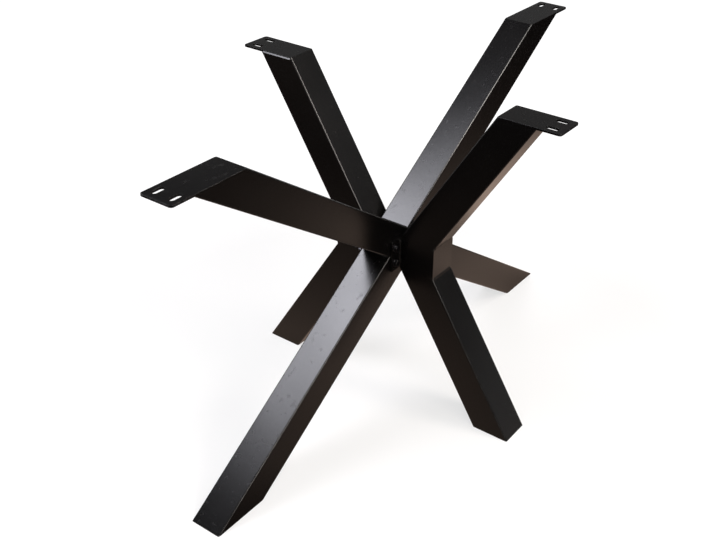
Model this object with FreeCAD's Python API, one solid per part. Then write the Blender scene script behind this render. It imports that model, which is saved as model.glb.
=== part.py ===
import FreeCAD, Part
import math
import os
from FreeCAD import Vector

# A free-standing table base of square steel tube, 71 cm high.
# The long frame is one welded X in the plane y = 0: a through bar, and two arms that butt on its faces.
# The short frame stands square to it, as two welded halves on the front (-y) and back (+y) of the crossing.
# Each half is a level stub with one arm standing on it, one hanging below it, and a flange on its inner end.
# Four bolts run through both flanges and the crossing between them.
# Origin: middle of the base, on the floor. +X runs along the long frame, +Z is up. Millimetres.

# Driving dimensions, overall
height = 710.0            # floor to the underside of the table top
long_reach = 528.0        # middle of the base to a long bar's centre line, at the floor
short_reach = 283.0       # the same for the short frame

# Square tube
tube = 70.0               # outside
wall = 2.0
bend_radius = 1.0         # inside radius of the tube's corners

# Top plates, one on each upper end, with two screw slots in the part that runs out past the tube
plate_thickness = 4.0
plate_corner = 6.0        # radius of the two outer corners
slot_length = 26.0        # end to end, along the plate
slot_width = 10.5
slot_end_margin = 12.0    # slot to the plate's outer end
slot_side_margin = 11.0   # slot to the plate's long edge
slot_tube_margin = 10.0   # slot to the tube below

# Plates that close the lower ends of the tubes and the outer ends of the stubs
foot_thickness = 3.0
cap_thickness = 3.0

# Hub flanges and their fasteners
flange_thickness = 5.0
flange_corner = 3.0
bolt_diameter = 8.0
hole_clearance = 1.0      # bolt holes in flanges and tubes are this much wider than the bolt
bore_clearance = 0.2      # bores of nuts and washers are this much wider than the bolt
head_rim = 2.5            # head and nut stand out this far beside the bolt, across the flats
head_height = 5.3
head_chamfer = 30.0       # degrees, slope of the chamfer on the corners of heads and nuts
nut_height = 6.5
bolt_tail = 4.0           # thread that stands out past the nut
washer_rim = 1.5          # washer stands out this far beside the head's flats
washer_thickness = 1.6
spanner_gap = 7.0         # washer to the side of the stub
flange_side_margin = 4.0  # washer to the flange's end
flange_top_margin = 10.0  # washer to the flange's top and bottom edges

# Worked out from the above
middle = height / 2
half = tube / 2
tube_radius = bend_radius + wall
tube_top = height - plate_thickness
plate_overhang = slot_end_margin + slot_length + slot_tube_margin
head_flats = bolt_diameter + 2 * head_rim
washer_radius = head_flats / 2 + washer_rim
bolt_x = half + spanner_gap + washer_radius
bolt_z = half - flange_top_margin - washer_radius
flange_half = bolt_x + washer_radius + flange_side_margin
bolt_places = [(sx * bolt_x, middle + sz * bolt_z) for sx in (-1, 1) for sz in (-1, 1)]

# Lean of the long bars, and the length of a level cut through one
long_lean = math.atan2(middle, long_reach)
long_cut = tube / math.sin(long_lean)

# An arm of the short frame covers its stub from end to end, so lean and stub length depend on each other:
# run = cut / 2 + rise / tan(lean) with cut = tube / sin(lean), which this lean solves.
stub_start = half + flange_thickness
run = short_reach - stub_start
rise = middle - half
short_lean = math.atan2(rise, run) + math.asin(half / math.hypot(rise, run))
short_cut = tube / math.sin(short_lean)
stub_end = stub_start + short_cut

ORIGIN = Vector(0, 0, 0)
AXIS_X = Vector(1, 0, 0)
AXIS_Y = Vector(0, 1, 0)
AXIS_Z = Vector(0, 0, 1)
PARALLEL = 1e-6           # sine of the angle under which two directions count as parallel
ROOM = 1.0                # a cutting block stands out this far round what it cuts


def box(low, high):
    """Block between two opposite corners."""
    return Part.makeBox(*(b - a for a, b in zip(low, high)), Vector(*low))


def edges_along(solid, axis):
    """The edges of a block that run along an axis."""
    return [e for e in solid.Edges if e.tangentAt(e.FirstParameter).cross(axis).Length < PARALLEL]


def rounded_square(side, radius):
    """Face in the plane z = 0: a square about the origin, with rounded corners."""
    flat = side / 2 - radius
    corners = ((flat, flat, 0), (-flat, flat, 90), (-flat, -flat, 180), (flat, -flat, 270))
    arcs = [Part.makeCircle(radius, Vector(x, y, 0), AXIS_Z, turn, turn + 90) for x, y, turn in corners]
    edges = []
    for arc, following in zip(arcs, arcs[1:] + arcs[:1]):
        leave, enter = arc.valueAt(arc.LastParameter), following.valueAt(following.FirstParameter)
        edges += [arc, Part.makeLine(leave, enter)]
    return Part.Face(Part.Wire(edges))


def bar(start, end, spare=0.0, hollow=True):
    """Square tube along a line, with one pair of sides upright and some spare length past both ends.

    Without its hollow it is the full outside form.
    """
    along = (end - start).normalize()
    across = AXIS_Z.cross(along).normalize()
    section = rounded_square(tube, tube_radius)
    if hollow:
        section = section.cut(rounded_square(tube - 2 * wall, bend_radius)).Faces[0]
    solid = section.extrude(AXIS_Z * ((end - start).Length + 2 * spare))
    turn = FreeCAD.Rotation(across, along.cross(across), along, "ZXY")
    solid.Placement = FreeCAD.Placement(start - along * spare, turn)
    return solid


def level_slice(solid, low, high):
    """The part of a solid between two heights."""
    around = solid.BoundBox
    around.enlarge(ROOM)
    return solid.common(box((around.XMin, around.YMin, low), (around.XMax, around.YMax, high)))


def rod(diameter, place, y_from, y_to):
    """Round rod along Y at a bolt's place (x, z)."""
    x, z = place
    return Part.makeCylinder(diameter / 2, y_to - y_from, Vector(x, y_from, z), AXIS_Y)


def hexagon(place, seat, outward, thickness):
    """Bolt head or nut on its seat, two flats upright, its outer corners chamfered by a cone."""
    x, z = place
    corner = head_flats / math.sqrt(3)
    angles = [math.radians(30 + 60 * k) for k in range(7)]
    ring = [Vector(x + corner * math.cos(a), seat, z + corner * math.sin(a)) for a in angles]
    prism = Part.Face(Part.makePolygon(ring)).extrude(outward * thickness)
    spread = thickness / math.tan(math.radians(head_chamfer))
    cone = Part.makeCone(head_flats / 2 + spread, head_flats / 2, thickness, Vector(x, seat, z), outward)
    return prism.common(cone)


def drilled(solid, y_from, y_to):
    """A solid with the four bolt holes through it."""
    return solid.cut([rod(bolt_diameter + hole_clearance, place, y_from, y_to) for place in bolt_places])


def slot(x, y):
    """Screw slot along X through a top plate, about the point (x, y)."""
    radius = slot_width / 2
    flat = slot_length / 2 - radius
    straight = box((x - flat, y - radius, tube_top), (x + flat, y + radius, height))
    centres = [Vector(x + s * flat, y, tube_top) for s in (-1, 1)]
    return straight.fuse([Part.makeCylinder(radius, plate_thickness, centre) for centre in centres])


def top_plate(start, end, cut):
    """Plate on the upper end of a tube on +X, run out past the tube's lower face.

    Its inner end carries on the tube's form, so it is flush with the tube's upper face.
    """
    lean = math.atan2(end.z - start.z, end.x - start.x)
    tube_edge = end.x + cut / 2 - plate_thickness / math.tan(lean)
    outer = tube_edge + plate_overhang
    plate = box((end.x, -half, tube_top), (outer, half, height))
    corners = [e for e in edges_along(plate, AXIS_Z) if e.CenterOfMass.x > tube_edge]
    plate = plate.makeFillet(plate_corner, corners)
    inner_end = level_slice(bar(start, end, cut, hollow=False), tube_top, height)
    plate = plate.fuse(inner_end).removeSplitter()
    slot_x = outer - slot_end_margin - slot_length / 2
    slot_y = half - slot_side_margin - slot_width / 2
    return plate.cut([slot(slot_x, s * slot_y) for s in (-1, 1)])


def turned(solid, degrees):
    """A copy turned about the upright axis of the base."""
    return solid.rotated(ORIGIN, AXIS_Z, degrees)


def long_frame():
    """Through bar from the left foot to the right top, the two arms of the other bar, and the end plates."""
    through = Vector(-long_reach, 0, 0), Vector(long_reach, 0, height), long_cut
    other = Vector(long_reach, 0, 0), Vector(-long_reach, 0, height), long_cut
    # The arms are sawn flat where they meet the through bar's upper and lower faces.
    saw = box((-long_cut, -tube, -half), (long_cut, tube, half))
    saw.rotate(ORIGIN, AXIS_Y, -math.degrees(long_lean))
    saw.translate(AXIS_Z * middle)
    arms = drilled(level_slice(bar(*other), foot_thickness, tube_top).cut(saw), -half, half)
    lower, upper = sorted(arms.Solids, key=lambda solid: solid.CenterOfMass.z)
    plate = top_plate(*through)
    return {
        "long_through_bar": drilled(level_slice(bar(*through), foot_thickness, tube_top), -half, half),
        "long_upper_arm": upper,
        "long_lower_arm": lower,
        "long_top_plate_left": turned(plate, 180),
        "long_top_plate_right": plate,
        "long_foot_plate_left": level_slice(bar(*through, hollow=False), 0, foot_thickness),
        "long_foot_plate_right": level_slice(bar(*other, hollow=False), 0, foot_thickness),
    }


def short_half():
    """One half of the short frame, made on +X. The caller turns it into place and drills its flange."""
    stub_middle = (stub_start + stub_end) / 2
    upper = Vector(stub_middle, 0, middle + half), Vector(short_reach, 0, height), short_cut
    lower = Vector(stub_middle, 0, middle - half), Vector(short_reach, 0, 0), short_cut
    inner, cap, outer = [Vector(x, 0, middle) for x in (stub_start, stub_end - cap_thickness, stub_end)]
    flange = box((half, -flange_half, middle - half), (stub_start, flange_half, middle + half))
    flange = flange.makeFillet(flange_corner, edges_along(flange, AXIS_X))
    return {
        "upper_arm": level_slice(bar(*upper), middle + half, tube_top),
        "lower_arm": level_slice(bar(*lower), foot_thickness, middle - half),
        "stub": bar(inner, cap),
        "stub_cap": bar(cap, outer, hollow=False),
        "flange": flange,
        "top_plate": top_plate(*upper),
        "foot_plate": level_slice(bar(*lower, hollow=False), 0, foot_thickness),
    }


def hub_fasteners():
    """Bolts with their heads on the front flange and nuts on the back flange, all on washers."""
    head_seat = -stub_start - washer_thickness
    nut_seat = stub_start + washer_thickness
    tip = nut_seat + nut_height + bolt_tail
    bore = bolt_diameter + bore_clearance
    bolts, head_washers, nut_washers, nuts = [], [], [], []
    for place in bolt_places:
        hole = rod(bore, place, head_seat, tip)
        shank = rod(bolt_diameter, place, head_seat, tip)
        bolts.append(hexagon(place, head_seat, -AXIS_Y, head_height).fuse(shank))
        head_washers.append(rod(2 * washer_radius, place, head_seat, -stub_start).cut(hole))
        nut_washers.append(rod(2 * washer_radius, place, stub_start, nut_seat).cut(hole))
        nuts.append(hexagon(place, nut_seat, AXIS_Y, nut_height).cut(hole))
    return {
        "hub_bolts": Part.Compound(bolts),
        "hub_head_washers": Part.Compound(head_washers),
        "hub_nut_washers": Part.Compound(nut_washers),
        "hub_nuts": Part.Compound(nuts),
    }


nodes = long_frame()
for name, side in (("front", -1), ("back", 1)):
    for piece, solid in short_half().items():
        nodes[f"{name}_{piece}"] = turned(solid, 90 * side)
    nodes[f"{name}_flange"] = drilled(nodes[f"{name}_flange"], *sorted((side * half, side * stub_start)))
nodes.update(hub_fasteners())

os.makedirs("parts", exist_ok=True)
for name, shape in nodes.items():
    shape.exportStep(f"parts/{name}.step")
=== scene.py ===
import bpy
import math
import numpy as np
from mathutils import Euler, Matrix, Vector


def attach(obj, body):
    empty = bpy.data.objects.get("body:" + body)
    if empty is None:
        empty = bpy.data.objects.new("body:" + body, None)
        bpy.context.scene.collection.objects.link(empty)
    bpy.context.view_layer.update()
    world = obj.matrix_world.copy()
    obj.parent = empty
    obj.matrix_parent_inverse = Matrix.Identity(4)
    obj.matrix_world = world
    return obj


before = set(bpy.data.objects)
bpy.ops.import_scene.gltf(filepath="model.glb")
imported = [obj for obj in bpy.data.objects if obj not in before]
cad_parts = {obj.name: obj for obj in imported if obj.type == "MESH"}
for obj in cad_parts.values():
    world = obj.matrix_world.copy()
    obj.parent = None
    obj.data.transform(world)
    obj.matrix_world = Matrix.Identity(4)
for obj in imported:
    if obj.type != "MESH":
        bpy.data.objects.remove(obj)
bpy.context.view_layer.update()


# Long frame: one X of cold-formed square steel tube, 70 mm with a 2 mm wall. A through bar runs from the left
# foot to the right top, and the two arms of the other bar are sawn to its slope and welded on its faces.
# The welded frame is blasted and powder coated in satin black polyester, baked to a fine even grain.
LONG_BARS = ("long_through_bar", "long_upper_arm", "long_lower_arm")
COAT_BLACK = "#050404"            # coat as baked
COAT_TIRED = "#0a0909"            # the same, greyed by handling
COAT_RUBBED = "#252423"           # edges and corners rubbed in packing
DUST = "#4a4744"
COAT_IOR = 1.5                    # polyester resin
COAT_ROUGHNESS = (0.22, 0.27)     # satin, from the glossiest cloud to the dullest
GRAIN_MM = 2.4                    # real grain is about 0.5 mm, drawn this coarse so that it shows at 2 mm a pixel
GRAIN_DEPTH_MM = 0.012
PEEL_MM = 11.0                    # slow waves left by the flowing resin
PEEL_DEPTH_MM = 0.05
CLOUD_MM = 170.0                  # uneven gloss along a bar
CLOUD_NOISE = (0.3, 0.7)          # noise in the glossiest cloud and in the dullest
SMUDGE_MM = 14.0                  # finger marks and settled dust
DUST_NOISE = (0.61, 0.80)         # smudge with no dust, and with all of it
DUST_SLOPE = (0.3, 0.9)           # upward share of the normal with no dust, and with all of it
DUST_FILM = 0.05                  # dust covers this share of the coat
DUST_DULL = 0.11                  # and makes it this much rougher
SCUFF_NOISE = (0.35, 0.6)         # smudge with the weakest rub, and with the strongest
SCUFF = (0.8, 3.6)                # these two rubs, for each unit of a corner's measure
RUB_DULL = -0.06                  # a rub makes the coat smoother
CORNER_FULL = 0.12                # a corner's measure where the grain has run out
CORNER_GRAIN = 0.03               # share of the grain that is left there
EDGE_FULL = 0.75                  # cosine of a rounded edge's normal to the flat, where its measure is that
EDGE_RAYS = 6


def linear(code):
    """An sRGB hex colour as linear red, green and blue, with alpha 1."""
    share = np.array([int(code[i:i + 2], 16) for i in (1, 3, 5)]) / 255
    rgb = np.where(share <= 0.04045, share / 12.92, ((share + 0.055) / 1.055) ** 2.4)
    return (*rgb.tolist(), 1.0)


def add(tree, kind, inputs=(), **settings):
    """A new node with its settings. Its inputs are listed in the node's own order, or go by name or number, and
    each takes a link, if it is a socket, or else a plain value. Map Range's order is value, old range and new
    range, and Mix has its factor at 0 and its two colours at 6 and 7.
    """
    node = tree.nodes.new(kind)
    for name, value in settings.items():
        setattr(node, name, value)
    for name, value in inputs.items() if isinstance(inputs, dict) else enumerate(inputs):
        if isinstance(value, bpy.types.NodeSocket):
            tree.links.new(value, node.inputs[name])
        else:
            node.inputs[name].default_value = value
    return node


def powder_coat(name, corner_axis=None, edge_mm=None):
    """Satin black powder coat. To the eye it is a soft broad gloss that breaks up in a fine grain, duller under
    dust on faces that look up. Rounded edges are smoother and catch thin lines of light, with paler rubs.

    On tube whose sides face along corner_axis, a corner is measured by s times one minus s, where s is the square
    of the normal's share along that axis, which is nothing on the flats. On flat steel with edges rounded to
    edge_mm, it is measured by how far the rounded normal leaves the flat.
    """
    material = bpy.data.materials.new(name)
    material.use_nodes = True
    tree = material.node_tree
    tree.nodes.clear()
    place = add(tree, "ShaderNodeTexCoord").outputs["Object"]
    grain, peel, cloud, smudge = [
        add(tree, "ShaderNodeTexNoise", {"Vector": place, "Scale": 1000 / size, "Detail": detail}).outputs[0]
        for size, detail in ((GRAIN_MM, 2), (PEEL_MM, 1), (CLOUD_MM, 3), (SMUDGE_MM, 3))]
    normal = add(tree, "ShaderNodeNewGeometry").outputs["Normal"]
    facing = add(tree, "ShaderNodeSeparateXYZ", [normal])

    upward = add(tree, "ShaderNodeMapRange", [facing.outputs["Z"], *DUST_SLOPE]).outputs[0]
    patches = add(tree, "ShaderNodeMapRange", [smudge, *DUST_NOISE]).outputs[0]
    dust = add(tree, "ShaderNodeMath", [upward, patches], operation="MULTIPLY").outputs[0]
    film = add(tree, "ShaderNodeMath", [dust, DUST_FILM], operation="MULTIPLY").outputs[0]
    tone = add(tree, "ShaderNodeMix", {0: cloud, 6: linear(COAT_BLACK), 7: linear(COAT_TIRED)},
               data_type="RGBA").outputs[2]
    tone = add(tree, "ShaderNodeMix", {0: film, 6: tone, 7: linear(DUST)}, data_type="RGBA").outputs[2]
    rough = add(tree, "ShaderNodeMapRange", [cloud, *CLOUD_NOISE, *COAT_ROUGHNESS]).outputs[0]
    rough = add(tree, "ShaderNodeMath", [dust, DUST_DULL, rough], operation="MULTIPLY_ADD").outputs[0]

    strength, rounded = 1.0, {}
    if corner_axis:
        side = facing.outputs[corner_axis]
        share = add(tree, "ShaderNodeMath", [side, side], operation="MULTIPLY").outputs[0]
        rest = add(tree, "ShaderNodeMath", [1.0, share], operation="SUBTRACT").outputs[0]
        corner = add(tree, "ShaderNodeMath", [share, rest], operation="MULTIPLY").outputs[0]
    if edge_mm:
        round_edge = add(tree, "ShaderNodeBevel", {"Radius": edge_mm / 1000}, samples=EDGE_RAYS).outputs[0]
        same = add(tree, "ShaderNodeVectorMath", [round_edge, normal], operation="DOT_PRODUCT").outputs["Value"]
        corner = add(tree, "ShaderNodeMapRange", [same, 1.0, EDGE_FULL, 0.0, CORNER_FULL]).outputs[0]
        rounded = {"Normal": round_edge}
    if corner_axis or edge_mm:
        scuffs = add(tree, "ShaderNodeMapRange", [smudge, *SCUFF_NOISE, *SCUFF]).outputs[0]
        rubbed = add(tree, "ShaderNodeMath", [corner, scuffs], operation="MULTIPLY", use_clamp=True).outputs[0]
        tone = add(tree, "ShaderNodeMix", {0: rubbed, 6: tone, 7: linear(COAT_RUBBED)},
                   data_type="RGBA").outputs[2]
        rough = add(tree, "ShaderNodeMath", [rubbed, RUB_DULL, rough], operation="MULTIPLY_ADD").outputs[0]
        strength = add(tree, "ShaderNodeMapRange", [corner, 0.0, CORNER_FULL, 1.0, CORNER_GRAIN]).outputs[0]

    waves = add(tree, "ShaderNodeBump", {"Height": peel, "Strength": strength, "Distance": PEEL_DEPTH_MM / 1000,
                                         **rounded})
    bumps = add(tree, "ShaderNodeBump", {"Height": grain, "Strength": strength, "Distance": GRAIN_DEPTH_MM / 1000,
                                         "Normal": waves.outputs[0]})
    shader = add(tree, "ShaderNodeBsdfPrincipled", {"Base Color": tone, "Roughness": rough, "IOR": COAT_IOR,
                                                    "Normal": bumps.outputs[0]})
    add(tree, "ShaderNodeOutputMaterial", {"Surface": shader.outputs[0]})
    return material


def dress(material, names):
    """Gives CAD nodes a material."""
    for name in names:
        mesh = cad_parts[name].data
        mesh.materials.clear()
        mesh.materials.append(material)


dress(powder_coat("powder_coat_long_bars", corner_axis="Y"), LONG_BARS)


# Welds of the long frame, laid by hand after the tubes are sawn, and coated over with them. The four inside
# corners of the crossing keep rippled beads, dressed a little hollow. Seams on the flat sides are ground almost
# flush with the tubes.
TUBE = 0.070
HALF = TUBE / 2
CORNER = 0.003            # outside radius of the tube
MIDDLE = 0.355            # height of the crossing
LONG_REACH = 0.528        # middle of the base to a bar's centre line, at the floor
LEG = 0.0032              # a bead covers this much of both faces
RIDGE_LEG = LEG / 2       # the same in the wide corners, above and below the crossing
CROWN = 0.0007            # a bead swells out this far
HOLLOW = -0.0007          # a bead dressed hollow dips in this far, in step with its leg
RIPPLE = 0.25             # the swell rises and falls by this share
PITCH = 0.0030            # one crescent of a bead
LAG = 1.6                 # its middle comes this much later than its sides, as an angle
FLUSH_CROWN = 0.00003     # swell of a ground seam
OVERLAP = 0.0015          # a ground seam runs out this far over both faces
FACE_POINTS = 9           # across a bead
STEPS_A_PITCH = 6         # along a bead
FEWEST_STEPS = 12
BLUNT = 4                 # least power that shapes a bead's ends
BORDER = math.radians(75)  # a bead's borders turn by more than this, and stay sharp


def bead(start, end, leg_a, leg_b, crown=CROWN, ripple=RIPPLE, peak=2.0):
    """A weld bead along the line from start to end, as its points and faces.

    Across the line, its face runs straight from leg_a to leg_b, offsets from the line that end on the joined
    faces, and swells out by crown times one minus the distance from its middle to the power peak. Along the line
    the swell rises and falls by the share ripple once every pitch, later in the middle than at the sides, as
    crescents do. Both ends shrink to a point by the root of one minus a high power of the way from the middle.
    """
    start, end, leg_a, leg_b = [np.array(v, float) for v in (start, end, leg_a, leg_b)]
    if np.dot(end - start, np.cross(leg_a, leg_b)) < 0:
        leg_a, leg_b = leg_b, leg_a
    length = np.linalg.norm(end - start)
    rings = max(FEWEST_STEPS, round(length / PITCH * STEPS_A_PITCH))
    way = np.linspace(0, 1, rings + 2)[1:-1, None]
    across = np.linspace(0, 1, FACE_POINTS)[None, :]
    out = (leg_a + leg_b) / np.linalg.norm(leg_a + leg_b)
    arch = 1 - np.abs(2 * across - 1) ** peak
    phase = 2 * np.pi * way * length / PITCH + LAG * arch
    swell = crown * arch * (1 + ripple * np.cos(phase))
    face = leg_a + across[..., None] * (leg_b - leg_a) + swell[..., None] * out
    taper = np.sqrt(1 - np.abs(2 * way - 1) ** max(BLUNT, length / np.linalg.norm(leg_a)))
    line = start + way[..., None] * (end - start)
    ring = np.concatenate([line + taper[..., None] * face, line], axis=1)
    points = np.concatenate([ring.reshape(-1, 3), [start, end]])

    size = FACE_POINTS + 1
    here = np.arange(rings * size).reshape(rings, size)
    after = np.roll(here, -1, axis=1)
    walls = np.stack([here[:-1], after[:-1], after[1:], here[1:]], -1).reshape(-1, 4)
    first = np.stack([after[0], here[0], np.full(size, rings * size)], -1)
    last = np.stack([here[-1], after[-1], np.full(size, rings * size + 1)], -1)
    return points, walls, np.concatenate([first, last])


def ground_seam(start, end, leg_a, leg_b):
    """A bead that is ground almost flush: straight from leg_a to leg_b, with hardly a swell and no ripples."""
    return bead(start, end, leg_a, leg_b, FLUSH_CROWN, 0.0)


def weld(name, beads, material):
    """One mesh of several beads, smooth along them and sharp at their borders, in one material and slot."""
    points, faces, count = [], [], 0
    for spots, walls, ends in beads:
        points.append(spots)
        faces += (walls + count).tolist() + (ends + count).tolist()
        count += len(spots)
    mesh = bpy.data.meshes.new(name)
    mesh.from_pydata(np.concatenate(points).tolist(), [], faces)
    mesh.shade_smooth()
    mesh.set_sharp_from_angle(angle=BORDER)
    mesh.materials.append(material)
    piece = bpy.data.objects.new(name, mesh)
    bpy.context.collection.objects.link(piece)
    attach(piece, "root")


X, Y, Z = np.eye(3)
centre = MIDDLE * Z
long_lean = math.atan2(MIDDLE, LONG_REACH)
along = math.cos(long_lean) * X + math.sin(long_lean) * Z     # up the through bar
arm = -math.cos(long_lean) * X + math.sin(long_lean) * Z      # up the other bar
over = -math.sin(long_lean) * X + math.cos(long_lean) * Z     # out of the through bar's upper face
flat = HALF - CORNER                                          # half of a tube's flat side
ridge = HALF / math.cos(long_lean) * Z                        # crossing's middle to its upper inside corner
notch = -HALF / math.sin(long_lean) * X                       # and to its left inside corner
beads = []
for turn in (1, -1):
    for spot, a, b, leg in ((ridge, along, arm, RIDGE_LEG), (notch, -along, arm, LEG)):
        spot, a, b = centre + turn * spot, turn * leg * a, turn * leg * b
        beads.append(bead(spot - flat * Y, spot + flat * Y, a, b, HOLLOW * leg / LEG))
    for side in (-1, 1):
        root = centre + side * flat * Y
        low, high = turn * (CORNER + OVERLAP) * over, turn * OVERLAP * over
        beads.append(ground_seam(root + turn * notch, root + turn * ridge,
                                 side * CORNER * Y - low, side * CORNER * Y + high))
coated_weld = powder_coat("powder_coat_welds")
weld("crossing_welds", beads, coated_weld)


# Short frame: two halves of the same tube, front and back. Each is a level stub, closed by a cap, with one arm
# welded on top and one below it. Both halves are coated like the long frame, before they are bolted on.
# Their side seams are ground like the crossing's, and the seams across the arms keep their beads.
SHORT_REACH = 0.283       # middle of the base to an arm's centre line, at the floor
FLANGE = 0.005
CAP = 0.003
CROSS_LEG = 0.8 * LEG     # a bead across an arm covers this much
SEAM = 0.0012             # a closing seam covers this much on both sides
SEAM_ROOT = 0.0006        # and is this deep
stub_start = HALF + FLANGE
run, rise = SHORT_REACH - stub_start, MIDDLE - HALF
short_lean = math.atan2(rise, run) + math.asin(HALF / math.hypot(rise, run))    # so that an arm covers its stub
stub_end = stub_start + TUBE / math.sin(short_lean)
dress(powder_coat("powder_coat_short_halves", corner_axis="X"),
      [f"{side}_{piece}" for side in ("front", "back") for piece in ("upper_arm", "lower_arm", "stub")])
beads = []
for out in (-Y, Y):
    for up in (-Z, Z):
        rim = centre + HALF * up
        slope = math.cos(short_lean) * out + math.sin(short_lean) * up
        for side in (-X, X):
            root = rim + flat * side
            beads.append(ground_seam(root + (stub_start + CORNER) * out, root + (stub_end - CORNER) * out,
                                     CORNER * side - (CORNER + OVERLAP) * up, CORNER * side + OVERLAP * up))
        inner, outer = rim + stub_start * out, rim + stub_end * out
        beads.append(bead(inner - flat * X, inner + flat * X, -CROSS_LEG * out, CROSS_LEG * slope))
        beads.append(bead(outer - flat * X, outer + flat * X, -CROSS_LEG * up, CROSS_LEG * slope))
    for side in (-X, X):
        root = centre + (stub_end - CAP) * out + (HALF - SEAM_ROOT) * side
        beads.append(ground_seam(root - flat * Z, root + flat * Z,
                                 SEAM_ROOT * side - SEAM * out, SEAM_ROOT * side + SEAM * out))
weld("short_frame_welds", beads, coated_weld)


# Flat steel: flanges at the hub, caps on the stubs, plates on the upper ends and plates that close the feet.
# All are laser cut, deburred to a small round edge, welded on and coated with their frame. Beads show beside the
# flanges, under the top plates and along one side of the short halves' top plates, and other seams are ground.
EDGE_MM = 0.8             # radius of the deburred edges
PLATE, FOOT = 0.004, 0.003
HEIGHT = 0.710
SIDE_LEG = 0.0022         # the bead along the side of a top plate covers this much of plate and tube
SIDE_CROWN = 0.0021
SIDE_PEAK = 1.1           # and is almost a ridge
coated_plate = powder_coat("powder_coat_plates", edge_mm=EDGE_MM)
dress(coated_plate,
      [f"{side}_{piece}" for side in ("front", "back") for piece in ("flange", "top_plate")]
      + [f"long_top_plate_{side}" for side in ("left", "right")])
dress(coated_weld,
      [f"{side}_{piece}" for side in ("front", "back") for piece in ("stub_cap", "foot_plate")]
      + [f"long_foot_plate_{side}" for side in ("left", "right")])
beads = []
for out in (-Y, Y):
    for side in (-X, X):
        spot = centre + stub_start * out + HALF * side
        beads.append(bead(spot - flat * Z, spot + flat * Z, LEG * out, LEG * side))
weld("flange_welds", beads, coated_weld)

top_beads, foot_beads = [], []
for out, wide, reach, lean in ((-X, Y, LONG_REACH, long_lean), (X, Y, LONG_REACH, long_lean),
                               (-Y, X, SHORT_REACH, short_lean), (Y, X, SHORT_REACH, short_lean)):
    cut = HALF / math.sin(lean)                                            # half of a level cut through the tube
    up_bar = math.cos(lean) * out + math.sin(lean) * Z
    down_bar = math.cos(lean) * out - math.sin(lean) * Z
    top = (reach - PLATE / math.tan(lean)) * out + (HEIGHT - PLATE) * Z    # middle of the tube's upper end
    foot = (reach - FOOT / math.tan(lean)) * out + FOOT * Z                # and of its lower end
    line, edge = flat * wide, (cut - CORNER) * out                         # half of a seam across, and along

    under = top + cut * out
    top_beads.append(bead(under - line, under + line, LEG * out, -LEG * up_bar))
    deep = SEAM_ROOT * (-math.sin(lean) * out + math.cos(lean) * Z)
    spot = top - cut * out - deep
    top_beads.append(ground_seam(spot - line, spot + line, deep + SEAM * up_bar, deep - SEAM * up_bar))
    for end in (-1, 1):
        deep = end * SEAM_ROOT * (math.sin(lean) * out + math.cos(lean) * Z)
        spot = foot + end * cut * out - deep
        foot_beads.append(ground_seam(spot - line, spot + line, deep + SEAM * down_bar, deep - SEAM * down_bar))
        deep = end * SEAM_ROOT * wide
        spot = foot + end * HALF * wide - deep
        foot_beads.append(ground_seam(spot - edge, spot + edge, deep - SEAM * Z, deep + SEAM * Z))
        spot = top + end * HALF * wide - deep
        if reach == SHORT_REACH and end * wide @ np.cross(Z, out) > 0:
            top_beads.append(bead(spot - edge, spot + edge, deep - SIDE_LEG * Z, deep + SIDE_LEG * Z,
                                  SIDE_CROWN, 0.0, SIDE_PEAK))
        else:
            top_beads.append(ground_seam(spot - edge, spot + edge, deep - SEAM * Z, deep + SEAM * Z))
weld("top_plate_welds", top_beads, coated_weld)
weld("foot_plate_welds", foot_beads, coated_weld)


# Hub fasteners: four M8 hexagon bolts with nuts, on plain washers, in blackened zinc-plated steel. The film is
# thin, so turned marks show through it, and the spanner has rubbed the edges of heads and nuts.
# They clamp the two halves of the short frame on the crossing.
BLACK_ZINC = "#37373b"
BLACK_ZINC_PALE = "#504f53"
BARE_ZINC = "#a09e9a"
ZINC_ROUGHNESS = (0.28, 0.46)     # from the smoothest turned mark to the roughest
MARKS_MM = 1.1                    # turned marks are finer, and drawn this wide so that they show close up
MARKS_DEPTH_MM = 0.02
MARKS_NOISE = (0.3, 0.7)          # noise in the smoothest mark and in the roughest
BLOTCH_MM = 7.0                   # uneven film
ZINC_EDGE_MM = 0.5
WORN_COSINE = (0.99, 0.8)         # rounded normal's cosine to the flat with no wear, and with all of it
BOLT_PLACES = [(x, MIDDLE + z) for x in (-0.050, 0.050) for z in (-0.017, 0.017)]
BOLT_RADIUS = 0.004
THREAD_PITCH = 0.00125
THREAD_RISE = 0.00018             # stands out past the bolt's plain face
THREAD_ROOT = 0.0003              # and starts this deep in it
THREAD_HALF = 0.45                # half of its width at the foot, in pitches
TAIL = (0.0488, 0.0514)           # the thread's middle line, between the nut and the bolt's end
STEPS_A_TURN = 32
THREAD_BLUNT = 16                 # power that shapes the thread's ends

material = bpy.data.materials.new("black_zinc_on_steel")
material.use_nodes = True
tree = material.node_tree
tree.nodes.clear()
place = add(tree, "ShaderNodeTexCoord").outputs["Object"]
marks, blotch = [add(tree, "ShaderNodeTexNoise", {"Vector": place, "Scale": 1000 / size, "Detail": 3}).outputs[0]
                 for size in (MARKS_MM, BLOTCH_MM)]
normal = add(tree, "ShaderNodeNewGeometry").outputs["Normal"]
round_edge = add(tree, "ShaderNodeBevel", {"Radius": ZINC_EDGE_MM / 1000}, samples=EDGE_RAYS).outputs[0]
same = add(tree, "ShaderNodeVectorMath", [round_edge, normal], operation="DOT_PRODUCT").outputs["Value"]
edge = add(tree, "ShaderNodeMapRange", [same, *WORN_COSINE]).outputs[0]
worn = add(tree, "ShaderNodeMath", [edge, blotch], operation="MULTIPLY").outputs[0]
tone = add(tree, "ShaderNodeMix", {0: blotch, 6: linear(BLACK_ZINC), 7: linear(BLACK_ZINC_PALE)},
           data_type="RGBA").outputs[2]
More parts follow.
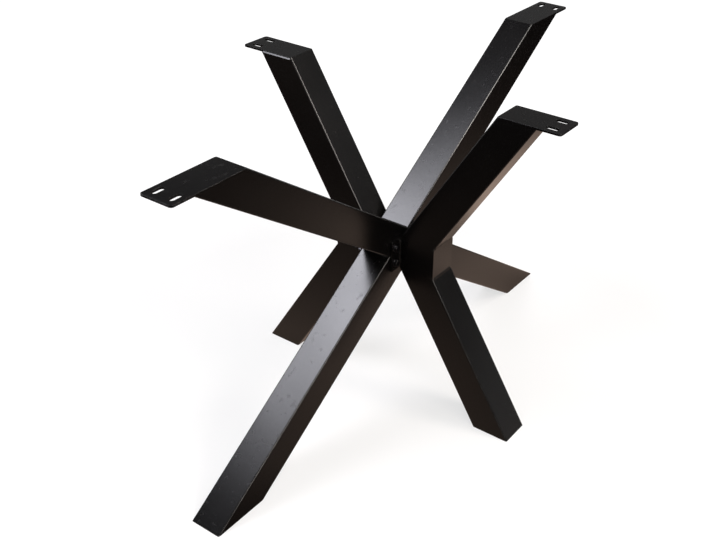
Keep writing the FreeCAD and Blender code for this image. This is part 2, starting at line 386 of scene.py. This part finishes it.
tone = add(tree, "ShaderNodeMix", {0: worn, 6: tone, 7: linear(BARE_ZINC)}, data_type="RGBA").outputs[2]
rough = add(tree, "ShaderNodeMapRange", [marks, *MARKS_NOISE, *ZINC_ROUGHNESS]).outputs[0]
bumps = add(tree, "ShaderNodeBump", {"Height": marks, "Distance": MARKS_DEPTH_MM / 1000, "Normal": round_edge})
shader = add(tree, "ShaderNodeBsdfPrincipled", {"Base Color": tone, "Metallic": 1.0, "Roughness": rough,
                                                "Normal": bumps.outputs[0]})
add(tree, "ShaderNodeOutputMaterial", {"Surface": shader.outputs[0]})
dress(material, ("hub_bolts", "hub_head_washers", "hub_nut_washers", "hub_nuts"))


def thread(x, z):
    """The thread on one bolt's tail, as its points and faces.

    A triangle, most of a pitch wide at its foot inside the bolt, climbs one pitch a turn round the bolt. Both
    ends shrink to a point by the root of one minus a high power of the way from the middle.
    """
    turns = (TAIL[1] - TAIL[0]) / THREAD_PITCH
    rings = round(turns * STEPS_A_TURN)
    way = np.linspace(0, 1, rings + 2)[:, None]
    taper = np.sqrt(1 - np.abs(2 * way - 1) ** THREAD_BLUNT)
    angle = 2 * np.pi * turns * way
    height = np.array([-THREAD_ROOT, THREAD_RISE, -THREAD_ROOT])
    radius = BOLT_RADIUS + taper * height - (1 - taper) * THREAD_ROOT
    width = THREAD_HALF * THREAD_PITCH * np.array([1.0, 0.0, -1.0])
    level = TAIL[0] + (TAIL[1] - TAIL[0]) * way + taper * width
    ring = np.stack([x + radius * np.sin(angle), level, z + radius * np.cos(angle)], -1)
    points = np.concatenate([ring[1:-1].reshape(-1, 3), ring[[0, -1], 0]])
    here = np.arange(rings * 3).reshape(rings, 3)
    after = np.roll(here, -1, axis=1)
    walls = np.stack([here[:-1], after[:-1], after[1:], here[1:]], -1).reshape(-1, 4)
    first = np.stack([after[0], here[0], np.full(3, rings * 3)], -1)
    last = np.stack([here[-1], after[-1], np.full(3, rings * 3 + 1)], -1)
    return points, walls, np.concatenate([first, last])


weld("bolt_threads", [thread(x, z) for x, z in BOLT_PLACES], material)


# Studio: white paper under the object, two softboxes high on the left behind it, two in front and one over its
# front right. Camera and transmission rays see white all round. Reflections see a dim wall with a paler band, and
# painted pools of warm light and painted shade at the feet on the paper, so that the coat stays black.
PAPER = "#8c8b8a"                 # under the lamps, on top of its glow
PAPER_REACH = 8.0
PAPER_GLOW = (0.70, 1.0)          # near the base, where its shadow shows, and far out
GLOW_REACH = (0.7, 1.7)           # metres from the base
PAINTED_POOL_TINT = "#ffdfcb"            # colour of the painted pools of light, as reflections see the paper
PAINTED_POOLS = (                         # place of a painted pool, its brightness, and metres over which it falls to 37 %
    ((0.49, 0.28, 0.0), 2.2, 0.38),
    ((0.51, -0.45, 0.0), 0.95, 0.20),
    ((-1.4, 1.6, 0.0), 0.14, 0.6))
PAINTED_POOL_MOST = 0.85                  # no painted pool is brighter than this
PAINTED_SHADES = (                        # painted shade at the long frame's feet, and beside the back foot
    (-LONG_REACH, 0.0, 0.0), (LONG_REACH, 0.0, 0.0), (0.10, 0.25, 0.0))
PAINTED_SHADE_REACH = (0.05, 0.18)        # metres from such a place
PAINTED_SHADE = (0.5, 1.0)                # share of the painted pools' light that the painted shade leaves there
WALL = (                          # height of a direction, level at 0 and straight up at 1, and brightness there
    (0.0, 1.1), (0.09, 0.0), (0.18, 0.0), (0.29, 0.22), (0.39, 0.22), (0.405, 0.02), (1.0, 0.02))
AMBIENT = 0.25                    # soft light from all sides
HUB = (0.0, 0.0, MIDDLE)
LAMPS = (                         # name, place, aim, width and height, beam (60 degrees is a grid), watts, colour
    ("near_softbox", (-0.497, 0.72, 2.076), HUB, (0.898, 0.898), 180, 17.4, "#f6f6ff"),
    ("far_softbox", (-0.806, 1.125, 2.076), HUB, (0.922, 0.922), 180, 22.2, "#f6f6ff"),
    ("front_softbox", (0.50, -1.70, 1.90), HUB, (0.65, 0.65), 180, 28.0, "#fff6ee"),
    ("low_front_softbox", (-0.68, -1.80, 1.42), (-0.3, 0.0, 0.35), (1.20, 0.85), 60, 3.3, "#fff6ee"),
    ("right_softbox", (0.27, -0.55, 1.60), (0.27, 0.0, 0.53), (0.60, 0.36), 180, 8.0, "#fffaf6"))

mesh = bpy.data.meshes.new("paper")
x, y = np.meshgrid([-PAPER_REACH, PAPER_REACH], [-PAPER_REACH, PAPER_REACH])
mesh.from_pydata(np.stack([x, y, 0 * x], -1).reshape(-1, 3).tolist(), [], [(0, 1, 3, 2)])
paper = bpy.data.objects.new("paper", mesh)
bpy.context.collection.objects.link(paper)
material = bpy.data.materials.new("white_paper")
material.use_nodes = True
tree = material.node_tree
tree.nodes.clear()
ray = add(tree, "ShaderNodeLightPath").outputs
seen = add(tree, "ShaderNodeMath", [ray["Is Camera Ray"], ray["Is Transmission Ray"]],
           operation="MAXIMUM").outputs[0]
place = add(tree, "ShaderNodeTexCoord").outputs["Object"]
away = add(tree, "ShaderNodeVectorMath", [place], operation="LENGTH").outputs["Value"]
white = add(tree, "ShaderNodeMapRange", [away, *GLOW_REACH, *PAPER_GLOW]).outputs[0]
glow = add(tree, "ShaderNodeMath", [seen, white], operation="MULTIPLY").outputs[0]
lit = add(tree, "ShaderNodeEmission", {"Color": linear("#ffffff"), "Strength": glow}).outputs[0]
matte = add(tree, "ShaderNodeBsdfDiffuse", {"Color": linear(PAPER)}).outputs[0]
plain = add(tree, "ShaderNodeAddShader", [lit, matte]).outputs[0]
# Reflections see the paper glow with painted pools of warm light, dimmed by painted shade round the feet.
light = 0.0
for spot, bright, reach in PAINTED_POOLS:
    away = add(tree, "ShaderNodeVectorMath", [place, spot], operation="DISTANCE").outputs["Value"]
    drop = add(tree, "ShaderNodeMath", [away, -1 / reach, math.log(bright)], operation="MULTIPLY_ADD").outputs[0]
    pool = add(tree, "ShaderNodeMath", [drop], operation="EXPONENT").outputs[0]
    light = add(tree, "ShaderNodeMath", [light, pool], operation="MAXIMUM").outputs[0]
light = add(tree, "ShaderNodeMath", [light, PAINTED_POOL_MOST], operation="MINIMUM").outputs[0]
# Painted shade: the pools' light is dimmed round the feet.
for spot in PAINTED_SHADES:
    away = add(tree, "ShaderNodeVectorMath", [place, spot], operation="DISTANCE").outputs["Value"]
    shade = add(tree, "ShaderNodeMapRange", [away, *PAINTED_SHADE_REACH, *PAINTED_SHADE]).outputs[0]
    light = add(tree, "ShaderNodeMath", [light, shade], operation="MULTIPLY").outputs[0]
painted_pool_glow = add(tree, "ShaderNodeEmission", {"Color": linear(PAINTED_POOL_TINT), "Strength": light}).outputs[0]
surface = add(tree, "ShaderNodeMixShader", [ray["Is Glossy Ray"], plain, painted_pool_glow]).outputs[0]
add(tree, "ShaderNodeOutputMaterial", {"Surface": surface})
mesh.materials.append(material)

world = bpy.data.worlds.new("studio")
bpy.context.scene.world = world
world.use_nodes = True
tree = world.node_tree
tree.nodes.clear()
ray = add(tree, "ShaderNodeLightPath").outputs
seen = add(tree, "ShaderNodeMath", [ray["Is Camera Ray"], ray["Is Transmission Ray"]],
           operation="MAXIMUM").outputs[0]
place = add(tree, "ShaderNodeTexCoord").outputs["Object"]
up = add(tree, "ShaderNodeSeparateXYZ", [place]).outputs["Z"]
wall = add(tree, "ShaderNodeValToRGB", [up])
for stop, (high, bright) in enumerate(WALL):
    spot = wall.color_ramp.elements[stop] if stop < 2 else wall.color_ramp.elements.new(high)
    spot.position = high
    spot.color = (bright, bright, bright, 1.0)
room = add(tree, "ShaderNodeBackground", {"Color": wall.outputs[0]}).outputs[0]
soft, white = [add(tree, "ShaderNodeBackground", {"Color": linear("#ffffff"), "Strength": strength}).outputs[0]
               for strength in (AMBIENT, 1.0)]
unseen = add(tree, "ShaderNodeMixShader", [ray["Is Glossy Ray"], soft, room]).outputs[0]
surface = add(tree, "ShaderNodeMixShader", [seen, unseen, white]).outputs[0]
add(tree, "ShaderNodeOutputWorld", {"Surface": surface})

for name, place, aim, size, beam, power, colour in LAMPS:
    lamp = bpy.data.lights.new(name, "AREA")
    lamp.shape = "RECTANGLE"
    lamp.size, lamp.size_y = size
    lamp.spread = math.radians(beam)
    lamp.energy = power
    lamp.color = linear(colour)[:3]
    piece = bpy.data.objects.new(name, lamp)
    piece.location = place
    piece.visible_camera = False
    piece.rotation_euler = (Vector(aim) - Vector(place)).to_track_quat("-Z", "Y").to_euler()
    bpy.context.collection.objects.link(piece)


# Camera: where the picture was taken from, worked out from the corners of the tubes and plates. The picture is a
# little off the lens's middle, which the two shifts give.
CAMERA_PLACE = (-1.5688, -1.0890, 1.4449)
AZIMUTH, ELEVATION, ROLL = np.radians([-54.455, 29.758, 1.213])
camera = bpy.data.cameras.new("camera")
camera.sensor_width = 36.0
camera.lens = 52.73
camera.shift_x = -0.0326
camera.shift_y = -0.0410
viewer = bpy.data.objects.new("camera", camera)
turn = Euler((math.pi / 2 - ELEVATION, 0, AZIMUTH)).to_matrix() @ Matrix.Rotation(ROLL, 3, "Z")
viewer.matrix_world = Matrix.Translation(CAMERA_PLACE) @ turn.to_4x4()
bpy.context.collection.objects.link(viewer)
bpy.context.scene.camera = viewer
bpy.context.scene.view_settings.view_transform = "Standard"
